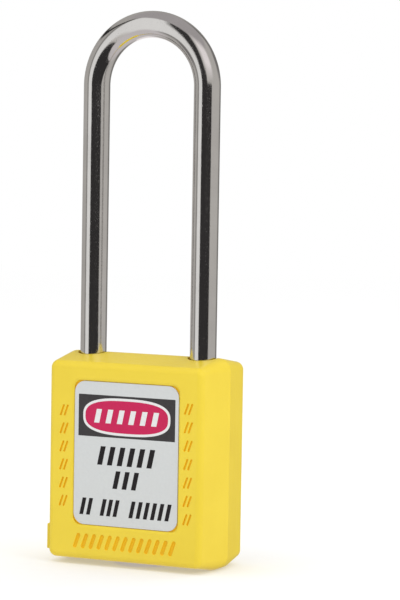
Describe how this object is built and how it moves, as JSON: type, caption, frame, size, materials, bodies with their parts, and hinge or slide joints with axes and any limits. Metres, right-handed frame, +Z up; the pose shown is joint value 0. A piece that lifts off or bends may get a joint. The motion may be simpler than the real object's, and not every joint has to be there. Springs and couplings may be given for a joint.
{
  "type": "safety padlock",
  "caption": "Lockout padlock with a plastic body, a long chromed steel shackle, a front label in a recess and a pin tumbler cylinder.",
  "frame": {"origin": "middle of the flat land under the bottom that the lock stands on", "axes": "+Z up along the shackle's legs; -Y out of the front label's face; -X towards the heel leg"},
  "size_m": [0.0418, 0.022, 0.1247],
  "materials": {
    "body_plastic": "semi-gloss moulded yellow thermoplastic",
    "label_film": "satin printed film",
    "shackle_chrome": "polished chrome plating",
    "cylinder_brass": "machined",
    "pin_brass": "machined",
    "bright_steel": "ground",
    "spring_steel": "drawn"
  },
  "bodies": {
    "lock_body": {"body_shell": "body_plastic", "side_plug": "body_plastic", "front_label": "label_film", "rear_label": "label_film", "cylinder_shell": "cylinder_brass", "spring_cover": "spring_steel", "cylinder_pin": "bright_steel", "shackle_retaining_pin": "bright_steel", "pin_spring_1": "spring_steel", "pin_spring_2": "spring_steel", "pin_spring_3": "spring_steel", "pin_spring_4": "spring_steel", "pin_spring_5": "spring_steel", "pin_spring_6": "spring_steel"},
    "shackle": {"shackle": "shackle_chrome"},
    "plug": {"cylinder_plug": "cylinder_brass", "plug_clip": "bright_steel", "lock_cam": "bright_steel"},
    "ball_toe": {"locking_ball_toe": "bright_steel"},
    "ball_heel": {"locking_ball_heel": "bright_steel"},
    "key_pin_1": {"key_pin_1": "pin_brass"},
    "driver_pin_1": {"driver_pin_1": "pin_brass"},
    "key_pin_2": {"key_pin_2": "pin_brass"},
    "driver_pin_2": {"driver_pin_2": "pin_brass"},
    "key_pin_3": {"key_pin_3": "pin_brass"},
    "driver_pin_3": {"driver_pin_3": "pin_brass"},
    "key_pin_4": {"key_pin_4": "pin_brass"},
    "driver_pin_4": {"driver_pin_4": "pin_brass"},
    "key_pin_5": {"key_pin_5": "pin_brass"},
    "driver_pin_5": {"driver_pin_5": "pin_brass"},
    "key_pin_6": {"key_pin_6": "pin_brass"},
    "driver_pin_6": {"driver_pin_6": "pin_brass"}
  },
  "joints": [
    {"name": "shackle_lift", "type": "slide", "parent": "lock_body", "child": "shackle", "axis": [0, 0, 1], "range_m": [0, 0.0155]},
    {"name": "plug_turn", "type": "hinge", "parent": "lock_body", "child": "plug", "pos_m": [0, 0, 0.0013], "axis": [0, 0, 1], "range_deg": [0, 90]},
    {"name": "ball_toe_slide", "type": "slide", "parent": "lock_body", "child": "ball_toe", "axis": [1, 0, 0], "range_m": [0, 0.0014]},
    {"name": "ball_heel_slide", "type": "slide", "parent": "lock_body", "child": "ball_heel", "axis": [-1, 0, 0], "range_m": [0, 0.0014]},
    {"name": "key_pin_1_drop", "type": "slide", "parent": "plug", "child": "key_pin_1", "axis": [-1, 0, 0], "range_m": [0, 0.00105]},
    {"name": "key_pin_2_drop", "type": "slide", "parent": "plug", "child": "key_pin_2", "axis": [-1, 0, 0], "range_m": [0, 0.00045]},
    {"name": "key_pin_3_drop", "type": "slide", "parent": "plug", "child": "key_pin_3", "axis": [-1, 0, 0], "range_m": [0, 0.00085]},
    {"name": "key_pin_4_drop", "type": "slide", "parent": "plug", "child": "key_pin_4", "axis": [-1, 0, 0], "range_m": [0, 0.00025]},
    {"name": "key_pin_5_drop", "type": "slide", "parent": "plug", "child": "key_pin_5", "axis": [-1, 0, 0], "range_m": [0, 0.00065]},
    {"name": "key_pin_6_drop", "type": "slide", "parent": "plug", "child": "key_pin_6", "axis": [-1, 0, 0], "range_m": [0, 0.00095]},
    {"name": "driver_pin_1_lift", "type": "slide", "parent": "lock_body", "child": "driver_pin_1", "axis": [0, 1, 0], "range_m": [0, 0.001], "stiffness_N_per_m": 120, "springref_m": -0.001, "deforming": ["pin_spring_1"]},
    {"name": "driver_pin_2_lift", "type": "slide", "parent": "lock_body", "child": "driver_pin_2", "axis": [0, 1, 0], "range_m": [0, 0.001], "stiffness_N_per_m": 120, "springref_m": -0.001, "deforming": ["pin_spring_2"]},
    {"name": "driver_pin_3_lift", "type": "slide", "parent": "lock_body", "child": "driver_pin_3", "axis": [0, 1, 0], "range_m": [0, 0.001], "stiffness_N_per_m": 120, "springref_m": -0.001, "deforming": ["pin_spring_3"]},
    {"name": "driver_pin_4_lift", "type": "slide", "parent": "lock_body", "child": "driver_pin_4", "axis": [0, 1, 0], "range_m": [0, 0.001], "stiffness_N_per_m": 120, "springref_m": -0.001, "deforming": ["pin_spring_4"]},
    {"name": "driver_pin_5_lift", "type": "slide", "parent": "lock_body", "child": "driver_pin_5", "axis": [0, 1, 0], "range_m": [0, 0.001], "stiffness_N_per_m": 120, "springref_m": -0.001, "deforming": ["pin_spring_5"]},
    {"name": "driver_pin_6_lift", "type": "slide", "parent": "lock_body", "child": "driver_pin_6", "axis": [0, 1, 0], "range_m": [0, 0.001], "stiffness_N_per_m": 120, "springref_m": -0.001, "deforming": ["pin_spring_6"]}
  ],
  "couplings": [
    {"joint": "plug_turn", "follows": "ball_toe_slide", "rad_per_m": 1122},
    {"joint": "ball_heel_slide", "follows": "ball_toe_slide", "ratio": 1}
  ]
}
